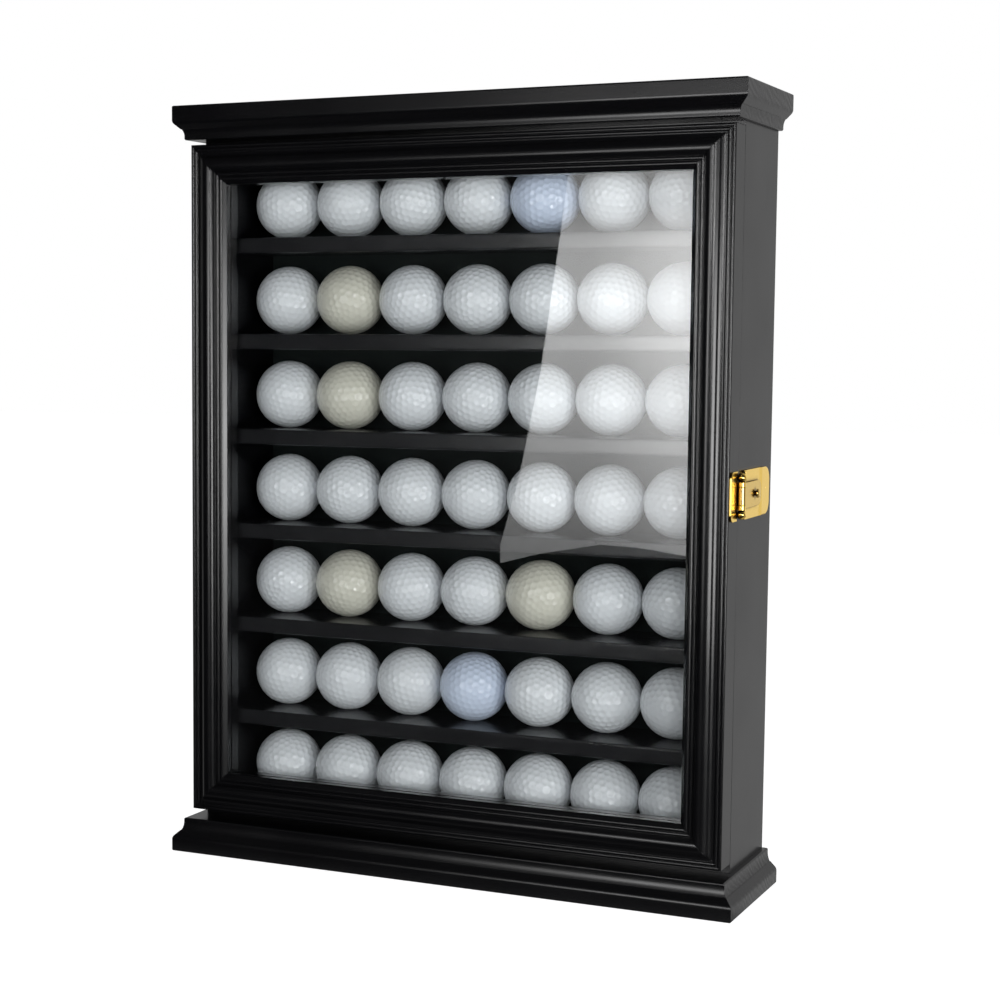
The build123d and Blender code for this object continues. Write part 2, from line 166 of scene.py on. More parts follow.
def scatter(name, tree, points, attributes, inputs):
    """Runs a Geometry Nodes tree on a cloud of points and returns the result as a plain mesh object."""
    cloud = bpy.data.meshes.new(name)
    cloud.from_pydata(points, [], [])
    for key, (kind, values) in attributes.items():
        layer = cloud.attributes.new(key, kind, "POINT")
        layer.data.foreach_set("vector" if kind == "FLOAT_VECTOR" else "value", values)
    piece = make_object(name, cloud)
    modifier = piece.modifiers.new("Tree", "NODES")
    modifier.node_group = tree
    for item in tree.interface.items_tree:
        if item.item_type == "SOCKET" and item.in_out == "INPUT" and item.name in inputs:
            modifier[item.identifier] = inputs[item.name]
    depsgraph = bpy.context.evaluated_depsgraph_get()
    mesh = bpy.data.meshes.new_from_object(
        piece.evaluated_get(depsgraph), preserve_all_data_layers=True, depsgraph=depsgraph
    )
    piece.modifiers.clear()
    piece.data = mesh
    bpy.data.meshes.remove(cloud)
    mesh.name = name
    return piece


# ---- materials ----------------------------------------------------------------------------------
def black_lacquered_pine(name, along, colour, roughness):
    """Solid pine, sprayed with black nitrocellulose lacquer and left off the gun: a satin film that
    the grain just telegraphs through. along is the axis that the grain runs along."""
    material, tree, output = new_material(name)
    coordinates = add(tree, "ShaderNodeTexCoord")
    place = coordinates.outputs["Object"]
    # grain lines about 1.5 mm apart across the board and some 60 mm long
    stretch = [650.0, 650.0, 650.0]
    stretch["XYZ".index(along)] = 16.0
    grain_place = add(tree, "ShaderNodeMapping", {"Vector": place, "Scale": stretch})
    grain = add(tree, "ShaderNodeTexNoise", {"Vector": grain_place.outputs[0], "Scale": 1.0, "Detail": 3.0})
    # growth rings 4 mm apart around a pith outside the board, which stand out where the open end grain
    # drinks the film
    drawn_out = [1.0, 1.0, 1.0]
    drawn_out["XYZ".index(along)] = 0.08
    ring_place = add(tree, "ShaderNodeMapping", {
        "Vector": place, "Location": (0.11, 0.14, 0.19), "Scale": drawn_out})
    rings = add(tree, "ShaderNodeTexWave", {
        "Vector": ring_place.outputs[0], "Scale": 78.0, "Distortion": 12.0, "Detail": 3.0,
        "Detail Scale": 0.6}, wave_type="RINGS", rings_direction=along)
    facing = add(tree, "ShaderNodeSeparateXYZ", {0: coordinates.outputs["Normal"]}).outputs[along]
    end_grain = add(tree, "ShaderNodeMath", {0: facing}, operation="ABSOLUTE")
    ring_relief = add(tree, "ShaderNodeMapRange", {
        "Value": end_grain.outputs[0], "From Min": 0.7, "From Max": 0.95, "To Max": 0.28})
    # the film's own orange peel, waves of about 3 mm
    peel = add(tree, "ShaderNodeTexNoise", {"Vector": place, "Scale": 330.0, "Detail": 1.0})
    # patches of 60 mm where the film is a little flatter or glossier
    patches = add(tree, "ShaderNodeTexNoise", {"Vector": place, "Scale": 16.0, "Detail": 2.0})
    gloss = add(tree, "ShaderNodeMapRange", {
        "Value": patches.outputs["Fac"], "From Min": 0.3, "From Max": 0.7,
        "To Min": roughness - 0.03, "To Max": roughness + 0.04})
    # sanded edges, on which the film catches a line of light
    edge = add(tree, "ShaderNodeBevel", {"Radius": 0.5 * MM}, samples=4)
    film = add(tree, "ShaderNodeBump", {
        "Height": peel.outputs["Fac"], "Normal": edge.outputs[0], "Strength": 0.02, "Distance": 0.4 * MM})
    sunken = add(tree, "ShaderNodeBump", {
        "Height": rings.outputs["Fac"], "Normal": film.outputs[0], "Strength": ring_relief.outputs[0],
        "Distance": 0.3 * MM})
    relief = add(tree, "ShaderNodeBump", {
        "Height": grain.outputs["Fac"], "Normal": sunken.outputs[0], "Strength": 0.02,
        "Distance": 0.4 * MM})
    lacquer = add(tree, "ShaderNodeBsdfPrincipled", {
        "Base Color": (*colour, 1.0), "Roughness": gloss.outputs[0], "Normal": relief.outputs[0]})
    tree.links.new(lacquer.outputs[0], output.inputs[0])
    return material


def needled_felt():
    """Dark green needled polyester felt: dead matt, with a short fuzz that lightens at a slant."""
    material, tree, output = new_material("Needled felt")
    place = add(tree, "ShaderNodeTexCoord").outputs["Object"]
    # fibres are finer than a pixel, so the clumps are drawn 1.2 mm wide
    fibres = add(tree, "ShaderNodeTexNoise", {"Vector": place, "Scale": 850.0, "Detail": 4.0})
    shade = add(tree, "ShaderNodeMix", {
        "Factor": fibres.outputs["Fac"], 6: linear("#090f0e"), 7: linear("#141b1a")}, data_type="RGBA")
    nap = add(tree, "ShaderNodeBump", {
        "Height": fibres.outputs["Fac"], "Strength": 0.5, "Distance": 0.5 * MM})
    felt = add(tree, "ShaderNodeBsdfPrincipled", {
        "Base Color": shade.outputs[2], "Roughness": 0.95, "Specular IOR Level": 0.2,
        "Sheen Weight": 0.15, "Sheen Roughness": 0.5, "Normal": nap.outputs[0]})
    tree.links.new(felt.outputs[0], output.inputs[0])
    return material


def tempered_hardboard():
    """Dark hardboard: pressed wood fibre with a smooth, slightly mottled brown-black face."""
    material, tree, output = new_material("Tempered hardboard")
    place = add(tree, "ShaderNodeTexCoord").outputs["Object"]
    # bundles of fibre about 2 mm across
    fibre = add(tree, "ShaderNodeTexNoise", {"Vector": place, "Scale": 500.0, "Detail": 5.0})
    shade = add(tree, "ShaderNodeMix", {
        "Factor": fibre.outputs["Fac"], 6: linear("#1d1713"), 7: linear("#33291f")}, data_type="RGBA")
    pressed = add(tree, "ShaderNodeBump", {
        "Height": fibre.outputs["Fac"], "Strength": 0.2, "Distance": 0.3 * MM})
    board = add(tree, "ShaderNodeBsdfPrincipled", {
        "Base Color": shade.outputs[2], "Roughness": 0.6, "Normal": pressed.outputs[0]})
    tree.links.new(board.outputs[0], output.inputs[0])
    return material


def float_glass():
    """Clear float glass. Lamps shine through it onto the balls; the eye sees its mirror image of the
    studio on top of them."""
    material, tree, output = new_material("Float glass")
    path = add(tree, "ShaderNodeLightPath")
    passes = add(tree, "ShaderNodeMath", {
        0: path.outputs["Is Shadow Ray"], 1: path.outputs["Is Diffuse Ray"]}, operation="MAXIMUM")
    glass = add(tree, "ShaderNodeBsdfPrincipled", {
        "Base Color": linear("#fcfdfd"), "Roughness": 0.0, "IOR": 1.5, "Transmission Weight": 1.0})
    clear = add(tree, "ShaderNodeBsdfTransparent", {"Color": linear("#f7f9f9")})
    blend = add(tree, "ShaderNodeMixShader", {
        0: passes.outputs[0], 1: glass.outputs[0], 2: clear.outputs[0]})
    tree.links.new(blend.outputs[0], output.inputs[0])
    return material


def painted_ball_cover(white):
    """Moulded ionomer cover under white paint and a clear coat. Each ball says which paint it has: aged
    cream (-1), white (0) or a cool bluish white (1)."""
    material, tree, output = new_material("Painted ionomer cover")
    shade = add(tree, "ShaderNodeAttribute", attribute_name="ball_shade").outputs["Fac"]
    cool = add(tree, "ShaderNodeMapRange", {"Value": shade, "From Min": 0.0, "From Max": 1.0})
    aged = add(tree, "ShaderNodeMapRange", {"Value": shade, "From Min": 0.0, "From Max": -1.0})
    bluish = add(tree, "ShaderNodeMix", {
        "Factor": cool.outputs[0], 6: (*white, 1.0), 7: linear("#d0daee")}, data_type="RGBA")
    colour = add(tree, "ShaderNodeMix", {
        "Factor": aged.outputs[0], 6: bluish.outputs[2], 7: linear("#d6d3c6")}, data_type="RGBA")
    cover = add(tree, "ShaderNodeBsdfPrincipled", {
        "Base Color": colour.outputs[2], "Roughness": 0.5, "Specular IOR Level": 0.2,
        "Coat Weight": 1.0, "Coat Roughness": 0.04})
    tree.links.new(cover.outputs[0], output.inputs[0])
    return material


def plated_brass(name, colour):
    """Pressed steel with polished brass plating: warm to the very edge, bright, with faint ripples."""
    material, tree, output = new_material(name)
    place = add(tree, "ShaderNodeTexCoord").outputs["Object"]
    # ripples of about 2 mm from tumbling, and a hazy film in patches of 5 mm
    ripple = add(tree, "ShaderNodeTexNoise", {"Vector": place, "Scale": 450.0, "Detail": 1.0})
    haze = add(tree, "ShaderNodeTexNoise", {"Vector": place, "Scale": 200.0, "Detail": 3.0})
    gloss = add(tree, "ShaderNodeMapRange", {"Value": haze.outputs["Fac"], "To Min": 0.12, "To Max": 0.26})
    # edges that the press and the tumbling have rounded
    edge = add(tree, "ShaderNodeBevel", {"Radius": 0.3 * MM}, samples=4)
    wave = add(tree, "ShaderNodeBump", {
        "Height": ripple.outputs["Fac"], "Normal": edge.outputs[0], "Strength": 0.06, "Distance": 0.3 * MM})
    # painted shade: within three millimetres of the inner corners, ambient occlusion darkens the plating
    # towards brown where shade falls
    corner_shade = add(tree, "ShaderNodeAmbientOcclusion", {"Distance": 3.0 * MM}, samples=8)
    unshaded = add(tree, "ShaderNodeMapRange", {
        "Value": corner_shade.outputs["AO"], "From Min": 0.55, "From Max": 0.92})
    shade = add(tree, "ShaderNodeMix", {
        "Factor": unshaded.outputs[0], 6: linear("#4e3210"), 7: (*colour, 1.0)}, data_type="RGBA")
    brass = add(tree, "ShaderNodeBsdfPrincipled", {
        "Base Color": shade.outputs[2], "Metallic": 1.0,
        "Roughness": gloss.outputs[0], "Normal": wave.outputs[0],
        "Specular Tint": linear("#fff7da")})
    tree.links.new(brass.outputs[0], output.inputs[0])
    return material


def zinc_plated_steel():
    """Bright zinc on steel: grey, slightly blue, and a little cloudy."""
    material, tree, output = new_material("Zinc plated steel")
    place = add(tree, "ShaderNodeTexCoord").outputs["Object"]
    # zinc spangle in clouds of about 1 mm
    cloud = add(tree, "ShaderNodeTexNoise", {"Vector": place, "Scale": 900.0, "Detail": 2.0})
    gloss = add(tree, "ShaderNodeMapRange", {"Value": cloud.outputs["Fac"], "To Min": 0.25, "To Max": 0.42})
    steel = add(tree, "ShaderNodeBsdfPrincipled", {
        "Base Color": linear("#b9bec4"), "Metallic": 1.0, "Roughness": gloss.outputs[0]})
    tree.links.new(steel.outputs[0], output.inputs[0])
    return material


# ---- golf balls ---------------------------------------------------------------------------------
def geodesic_sphere(steps):
    """A unit icosahedron whose faces are divided into steps along each edge and pushed out to the
    sphere: its points and triangles."""
    core = bmesh.new()
    bmesh.ops.create_icosphere(core, subdivisions=1, radius=1.0)
    points, index, triangles = [], {}, []
    for face in core.faces:
        a, b, c = (vert.co for vert in face.verts)
        rows = []
        for i in range(steps + 1):
            row = []
            for j in range(steps + 1 - i):
                point = (a * (steps - i - j) + b * i + c * j).normalized()
                key = tuple(round(value, 5) for value in point)
                if key not in index:
                    index[key] = len(points)
                    points.append(point)
                row.append(index[key])
            rows.append(row)
        for i in range(steps):
            for j in range(steps - i):
                triangles.append((rows[i][j], rows[i + 1][j], rows[i][j + 1]))
                if j < steps - i - 1:
                    triangles.append((rows[i + 1][j], rows[i + 1][j + 1], rows[i][j + 1]))
    core.free()
    return points, triangles


# steps of the ball's mesh from one dimple to the next
STEPS_PER_DIMPLE = 6


def dimpled_ball(radius, settings):
    """One ball with a round dimple at every point of a coarser geodesic sphere."""
    centres, _ = geodesic_sphere(settings.dimple_rows)
    tree = KDTree(len(centres))
    for number, centre in enumerate(centres):
        tree.insert(centre, number)
    tree.balance()
    points, triangles = geodesic_sphere(STEPS_PER_DIMPLE * settings.dimple_rows)
    reach = settings.dimple_width / 2 * MM / radius
    depth = settings.dimple_depth * MM
    shaped = []
    for point in points:
        share = min(tree.find(point)[2] / reach, 1.0)
        shaped.append(point * (radius - depth * (1 - share * share)))
    mesh = bpy.data.meshes.new("Dimpled ball")
    mesh.from_pydata(shaped, [], triangles)
    shade_smooth(mesh)
    return make_object("dimpled_ball_pattern", mesh)


def ball_row_tree():
    """Geometry Nodes: one turned copy of the ball on each point of a row."""
    tree, given = copying_tree("Row of balls", "Ball", "Cover")
    turn = add(tree, "FunctionNodeRandomValue", {
        "Max": (tau, tau, tau), "Seed": given.outputs["Seed"]}, data_type="FLOAT_VECTOR")
    end_with_copies(tree, given, "Ball", turn.outputs[0], "Cover")
    return tree


BALL_ROWS = 7
BALLS_IN_ROW = 7
# the few balls that stand out from the white ones, by row from the bottom and place from the left
AGED_BALLS = ((3, 2), (3, 5), (5, 2), (6, 2))
BLUISH_BALLS = ((2, 4), (7, 5))


def ball_shade(row, place):
    """Which of the three covers a ball has: -1 aged cream, 0 white, 1 bluish white."""
    return float((row, place) in BLUISH_BALLS) - float((row, place) in AGED_BALLS)


class DISPLAYCASE_OT_golf_balls(bpy.types.Operator):
    """Puts dimpled golf balls on every shelf"""

    bl_idname = "display_case.golf_balls"
    bl_label = "Golf Balls"

    def execute(self, context):
        settings = context.scene.display_case_balls
        low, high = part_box("ball_row_1")
        radius = (high.z - low.z) / 2
        ball = dimpled_ball(radius, settings)
        cover = painted_ball_cover(settings.white)
        tree = ball_row_tree()
        for number in range(1, BALL_ROWS + 1):
            node = f"ball_row_{number}"
            low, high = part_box(node)
            middle = (low + high) / 2
            step = (high.x - low.x - 2 * radius) / (BALLS_IN_ROW - 1)
            points = [(low.x + radius + i * step, middle.y, middle.z) for i in range(BALLS_IN_ROW)]
            shades = [ball_shade(number, i + 1) for i in range(BALLS_IN_ROW)]
            row = scatter(
                f"golf_balls_{number}", tree, points, {"ball_shade": ("FLOAT", shades)},
                {"Ball": ball, "Seed": number, "Cover": cover})
            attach(row, "case")
            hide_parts(node)
        bpy.data.objects.remove(ball)
        return {"FINISHED"}


# ---- screws -------------------------------------------------------------------------------------
# a cross head screw, in millimetres
EDGE_BREAK = 0.12
HEAD_LAND = 0.3
THREAD_START = 0.8
THREAD_PITCH = 0.9
RIDGE_CREST = 0.35
RIDGE_END = 0.6
RECESS_RISE = 0.2
# and as shares of the radius of its shank or of its head
ROOT_SHARE = 0.72
TIP_SHARE = 0.7
RECESS_LONG, RECESS_WIDE, RECESS_DEEP = 0.62, 0.17, 0.55
# what is left of the recess's length and width at its foot
FOOT_LONG, FOOT_WIDE = 0.35, 0.6


def turned_screw(head, shank, length):
    """The screw as it is turned and rolled, pointing down, with ridges for its thread."""
    outline = [
        (0.0, 0.0), (head - EDGE_BREAK, 0.0), (head, -EDGE_BREAK), (head, -HEAD_LAND),
        (shank, -(head - shank) - HEAD_LAND)]
    root = shank * ROOT_SHARE
    depth = head - shank + THREAD_START
    while depth < length - 2.2 * shank:
        outline += [(root, -depth), (shank, -depth - RIDGE_CREST), (root, -depth - RIDGE_END)]
        depth += THREAD_PITCH
    outline += [(shank * TIP_SHARE, -(length - 2 * shank)), (0.0, -length)]
    shape = bmesh.new()
    verts = [shape.verts.new((r * MM, 0, z * MM)) for r, z in outline]
    edges = [shape.edges.new(pair) for pair in zip(verts, verts[1:])]
    bmesh.ops.spin(
        shape, geom=verts + edges, axis=(0, 0, 1), cent=(0, 0, 0), angle=tau, steps=24)
    bmesh.ops.remove_doubles(shape, verts=shape.verts, dist=JOINED)
    bmesh.ops.recalc_face_normals(shape, faces=shape.faces)
    return make_object("screw_pattern", mesh_of(shape, "Cross head screw"))


def cross_recess(head):
    """The form of the driver's recess: two crossed wedges."""
    shape = bmesh.new()
    long, wide, deep = RECESS_LONG * head, RECESS_WIDE * head, RECESS_DEEP * head
    for turn in (0, pi / 2):
        top = [(long, wide), (-long, wide), (-long, -wide), (long, -wide)]
        ring = [shape.verts.new((x * MM, y * MM, RECESS_RISE * MM)) for x, y in top]
        foot = [shape.verts.new((FOOT_LONG * x * MM, FOOT_WIDE * y * MM, -deep * MM)) for x, y in top]
        shape.faces.new(ring[::-1])
        shape.faces.new(foot)
        for i in range(4):
            shape.faces.new((ring[i], ring[(i + 1) % 4], foot[(i + 1) % 4], foot[i]))
        turned = Matrix.Rotation(turn, 3, "Z")
        bmesh.ops.rotate(shape, verts=ring + foot, cent=(0, 0, 0), matrix=turned)
    bmesh.ops.recalc_face_normals(shape, faces=shape.faces)
    return make_object("recess_pattern", mesh_of(shape, "Cross recess"))


def cross_head_screw(head, shank, length):
    """A countersunk wood screw that points down, with a cross recess in its head. head and shank are
    radii, and all three sizes are in millimetres."""
    screw = turned_screw(head, shank, length)
    cutter = cross_recess(head)
    cut = screw.modifiers.new("Recess", "BOOLEAN")
    cut.operation, cut.solver, cut.use_self, cut.object = "DIFFERENCE", "EXACT", True, cutter
    depsgraph = bpy.context.evaluated_depsgraph_get()
    finished = bpy.data.meshes.new_from_object(screw.evaluated_get(depsgraph))
    screw.modifiers.clear()
    screw.data = finished
    # the cut leaves slivers with no area where the two wedges meet
    shape = bmesh.new()
    shape.from_mesh(finished)
    bmesh.ops.remove_doubles(shape, verts=shape.verts, dist=JOINED)
    bmesh.ops.dissolve_degenerate(shape, dist=JOINED, edges=shape.edges)
    shape.to_mesh(finished)
    shape.free()
    bpy.data.objects.remove(cutter)
    return screw


def screw_tree():
    """Geometry Nodes: one screw at each point, driven along that point's direction and turned by
    chance about its own axis."""
    tree, given = copying_tree("Set of screws", "Screw", "Metal")
    outward = add(tree, "GeometryNodeInputNamedAttribute", {"Name": "outward"}, data_type="FLOAT_VECTOR")
    aim = add(tree, "FunctionNodeAlignRotationToVector", {"Vector": outward.outputs[0]}, axis="Z")
    turn = add(tree, "FunctionNodeRandomValue", {
        2: 0.0, 3: tau, "Seed": given.outputs["Seed"]}, data_type="FLOAT")
    spin = add(tree, "ShaderNodeCombineXYZ", {"Z": turn.outputs[1]})
    both = add(tree, "FunctionNodeRotateRotation", {
        "Rotation": aim.outputs[0], "Rotate By": spin.outputs[0]}, rotation_space="LOCAL")
    end_with_copies(tree, given, "Screw", both.outputs[0], "Metal")
    return tree


# node, body, way that the screw heads face, record slot
SCREW_SETS = (
    ("base_screws", "case", (0, 0, -1), "zinc_plated_steel"),
    ("crown_screws", "case", (0, 0, -1), "zinc_plated_steel"),
    ("hanger_screws", "case", (0, 1, 0), "brass"),
    ("hinge_case_screws", "case", (0, -1, 0), "brass"),
    ("hinge_door_screws", "door", (0, 1, 0), "brass"),
    ("hasp_case_screws", "case", (1, 0, 0), "brass"),
    ("hasp_door_screws", "door", (1, 0, 0), "brass"),
)


class DISPLAYCASE_OT_screws(bpy.types.Operator):
    """Puts cross head screws where the plain ones of the CAD model are"""

    bl_idname = "display_case.screws"
    bl_label = "Screws"

    def execute(self, context):
        metals = {
            "brass": bpy.data.materials["Polished brass plating"],
            "zinc_plated_steel": zinc_plated_steel(),
        }
        tree = screw_tree()
        for seed, (node, body, outward, slot) in enumerate(SCREW_SETS, 7):
            way = Vector(outward)
            across = [axis for axis in range(3) if not outward[axis]][0]
            along = [axis for axis in range(3) if outward[axis]][0]
            heads = []
            for solid in solids_of(node):
                low = Vector(min(p[k] for p in solid) for k in range(3))
                high = Vector(max(p[k] for p in solid) for k in range(3))
                place = (low + high) / 2
                place[along] = high[along] if outward[along] > 0 else low[along]
                heads.append(place)
                head = (high[across] - low[across]) / 2 / MM
                length = (high[along] - low[along]) / MM
            # the screws of one set are alike
            pattern = cross_head_screw(head, 0.5 * head, length)
            piece = scatter(
                node + "_heads", tree, heads,
                {"outward": ("FLOAT_VECTOR", [value for _ in heads for value in way])},
                {"Screw": pattern, "Seed": seed, "Metal": metals[slot]})
            bpy.data.objects.remove(pattern)
            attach(piece, body)
            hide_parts(node)
        return {"FINISHED"}


# ---- finishes of the CAD nodes ------------------------------------------------------------------
UPRIGHT = (
    "left_side", "right_side", "door_left_stile", "door_right_stile", "left_glazing_bead",
    "right_glazing_bead")
LEVEL = (
    "base_board", "crown_board", "case_floor", "case_ceiling", "door_top_rail", "door_bottom_rail",
    "top_glazing_bead", "bottom_glazing_bead")
SHELVES = tuple(f"shelf_{i}" for i in range(1, 7))
BRASSWARE = (
    "lower_hinge_case_leaf", "upper_hinge_case_leaf", "lower_hinge_door_leaf",
    "upper_hinge_door_leaf", "lower_hinge_pin", "upper_hinge_pin", "hasp_door_plate", "hasp_pin",
    "hasp_tongue", "hasp_case_plate", "left_hanger", "right_hanger", "glazing_clips")


class DISPLAYCASE_OT_woodwork(bpy.types.Operator):
    """Lacquers the boards, mouldings, shelves and beads"""

    bl_idname = "display_case.woodwork"
    bl_label = "Woodwork"

    def execute(self, context):
        settings = context.scene.display_case_lacquer
        for nodes, name, along, colour in (
                (UPRIGHT, "Black lacquered pine, upright grain", "Z", settings.colour),
                (LEVEL, "Black lacquered pine, level grain", "X", settings.colour),
                (SHELVES, "Black lacquered pine, one coat", "X", settings.shelf_colour)):
            finish = black_lacquered_pine(name, along, colour, settings.roughness)
            for node in nodes:
                dress(node, finish)
        return {"FINISHED"}


class DISPLAYCASE_OT_back(bpy.types.Operator):
    """Covers the back panel and its felt"""

    bl_idname = "display_case.back"
    bl_label = "Back Panel and Felt"

    def execute(self, context):
        dress("back_felt", needled_felt())
        dress("back_panel", tempered_hardboard())
        return {"FINISHED"}


class DISPLAYCASE_OT_glazing(bpy.types.Operator):
    """Glazes the door"""

    bl_idname = "display_case.glazing"
    bl_label = "Glass"

    def execute(self, context):
        dress("glass_pane", float_glass())
        return {"FINISHED"}


class DISPLAYCASE_OT_brassware(bpy.types.Operator):
    """Plates the hasp, hinges, clips and hanging plates"""

    bl_idname = "display_case.brassware"
    bl_label = "Brassware"

    def execute(self, context):
        settings = context.scene.display_case_brass
        polished = plated_brass("Polished brass plating", settings.colour)
        for node in BRASSWARE:
            dress(node, polished)
        # painted shade: the tongue gets a darker copy of the plating, so it reads darker than the plate
        # beside it
        dress("hasp_tongue", plated_brass("Shaded tongue brass plating", settings.shaded_tongue_colour))
        return {"FINISHED"}


# ---- stage --------------------------------------------------------------------------------------
# the photograph's camera: its place, its turn in degrees, and its lens and shift as shares of the
# picture's width
CAMERA_PLACE = (0.49358, -1.16311, 0.32712)
CAMERA_YAW, CAMERA_PITCH, CAMERA_ROLL = 26.28, -5.42, 0.23
CAMERA_LENS = 2.08029
CAMERA_SHIFT = (0.15, 0.0319)
SENSOR_WIDTH = 36.0

CASE_MIDDLE = (0, 0, 0.24)
HASP_PLACE = (0.17, 0, 0.24)
# what polished faces mirror of the studio: white walls behind the object, a dim room in front of it
LIT_ROOM = 0.42
DIM_ROOM = 0.02
DIM_FLOOR = 0.01
FLOOR_REACH = 6
FLOOR_LIFT = 0.88

# outlines of the lit cards as (x, z); brightness by height as (z, share), and along X as (from, to,
# share that is left at from)
SOFTBOX_OUTLINE = (
    (-0.563, 0.02), (-0.563, 0.045), (-0.535, 0.147), (-0.508, 0.281), (-0.483, 0.459),
    (-0.47, 0.56), (0.15, 0.56), (0.15, 0.045), (-0.298, 0.042), (-0.366, 0.05), (-0.421, 0.052),
    (-0.505, 0.036))
# dim at its foot, full in its upper part, and fading at its top edge
SOFTBOX_RISE = ((0.05, 0.3), (0.33, 1.0), (0.44, 1.0), (0.5, 0.45))
SOFTBOX_CLIMB = (-0.46, -0.29, 0.58)
WALL_OUTLINE = ((-1.1, 0.05), (0.6, 0.05), (0.6, 1.1), (-1.1, 1.1))
WALL_RISE = ((0.3, 0.08), (0.56, 0.08), (0.66, 1.0))
WALL_CLIMB = (-0.95, -0.4, 0.0)
WALL_BEHIND_SOFTBOX = 0.05


def camera_turn(yaw, pitch, roll):
    """The camera's rotation: yaw to the left of +Y, pitch up and roll, in degrees."""
    yaw, pitch, roll = radians(yaw), radians(pitch), radians(roll)
    ahead = Vector((-sin(yaw) * cos(pitch), cos(yaw) * cos(pitch), sin(pitch)))
    right = Vector((cos(yaw), sin(yaw), 0))
    up = right.cross(ahead)
    x = right * cos(roll) + up * sin(roll)
    y = up * cos(roll) - right * sin(roll)
    return Matrix((x, y, -ahead)).transposed()


def background_seen(tree):
    """1 for a ray that shows the plain background: from the camera, or on through clear glass."""
    path = add(tree, "ShaderNodeLightPath")
    unmirrored = add(tree, "ShaderNodeMath", {
        0: path.outputs["Glossy Depth"], 1: 0.5}, operation="LESS_THAN")
    through = add(tree, "ShaderNodeMath", {
        0: path.outputs["Is Transmission Ray"], 1: unmirrored.outputs[0]}, operation="MULTIPLY")
    return add(tree, "ShaderNodeMath", {
        0: path.outputs["Is Camera Ray"], 1: through.outputs[0]}, operation="MAXIMUM").outputs[0]


def studio_world():
    """A studio that is white behind and beside the object and dim behind the camera. What the eye sees
    past the object is plain white; the object is lit by the rest and mirrors it."""
    world = bpy.data.worlds.new("Studio")
    bpy.context.scene.world = world
    world.use_nodes = True
    tree = world.node_tree
    tree.nodes.clear()
    way = add(tree, "ShaderNodeTexCoord").outputs["Generated"]
    depth = add(tree, "ShaderNodeSeparateXYZ", {0: way}).outputs["Y"]
    room = add(tree, "ShaderNodeMapRange", {
        "Value": depth, "From Min": -0.3, "From Max": 0.5, "To Min": DIM_ROOM, "To Max": LIT_ROOM},
        interpolation_type="SMOOTHSTEP")
    strength = add(tree, "ShaderNodeMix", {0: background_seen(tree), 2: room.outputs[0], 3: 1.0})
    light = add(tree, "ShaderNodeBackground", {"Color": (1, 1, 1, 1), "Strength": strength.outputs[0]})
    output = add(tree, "ShaderNodeOutputWorld")
    tree.links.new(light.outputs[0], output.inputs[0])


def area_lamp(name, place, target, width, height, radiance):
    """A rectangular lamp at place, facing target. radiance is what a mirror would show of it."""
    data = bpy.data.lights.new(name, "AREA")
    data.shape, data.size, data.size_y = "RECTANGLE", width, height
    data.energy = radiance * pi * width * height
    lamp = bpy.data.objects.new(name, data)
    bpy.context.scene.collection.objects.link(lamp)
    lamp.location = place
    lamp.rotation_euler = (Vector(target) - Vector(place)).to_track_quat("-Z", "Y").to_euler()
    return lamp


def glowing_cloth(name, strength, rise, climb):
    """Unevenly lit cloth: rise gives its share of the strength at heights in metres, and climb is
    (from, to, share that is left at from) along X."""
    material, tree, output = new_material(name)
    place = add(tree, "ShaderNodeSeparateXYZ", {0: add(tree, "ShaderNodeTexCoord").outputs["Object"]})
    upward = add(tree, "ShaderNodeValToRGB", {0: place.outputs["Z"]})
    stops = upward.color_ramp.elements
    while len(stops) < len(rise):
        stops.new(1.0)
    for stop, (height, share) in zip(stops, rise):
        stop.position, stop.color = height, (share, share, share, 1.0)
    start, end, share = climb
    across = add(tree, "ShaderNodeMapRange", {
        "Value": place.outputs["X"], "From Min": start, "From Max": end, "To Min": share * strength,
        "To Max": strength}, interpolation_type="SMOOTHSTEP")
    glow = add(tree, "ShaderNodeMath", {
        0: upward.outputs[0], 1: across.outputs[0]}, operation="MULTIPLY")
    cloth = add(tree, "ShaderNodeEmission", {"Color": (1, 1, 1, 1), "Strength": glow.outputs[0]})
    tree.links.new(cloth.outputs[0], output.inputs[0])
    return material


def lit_card(name, outline, y, material):
    """A flat lit card that stands across Y, which the camera itself doesn't see."""
    mesh = bpy.data.meshes.new(name)
    mesh.from_pydata([(x, y, z) for x, z in outline], [], [tuple(range(len(outline)))])
    card = make_object(name, mesh)
    dress(card, material)
    card.visible_camera = False


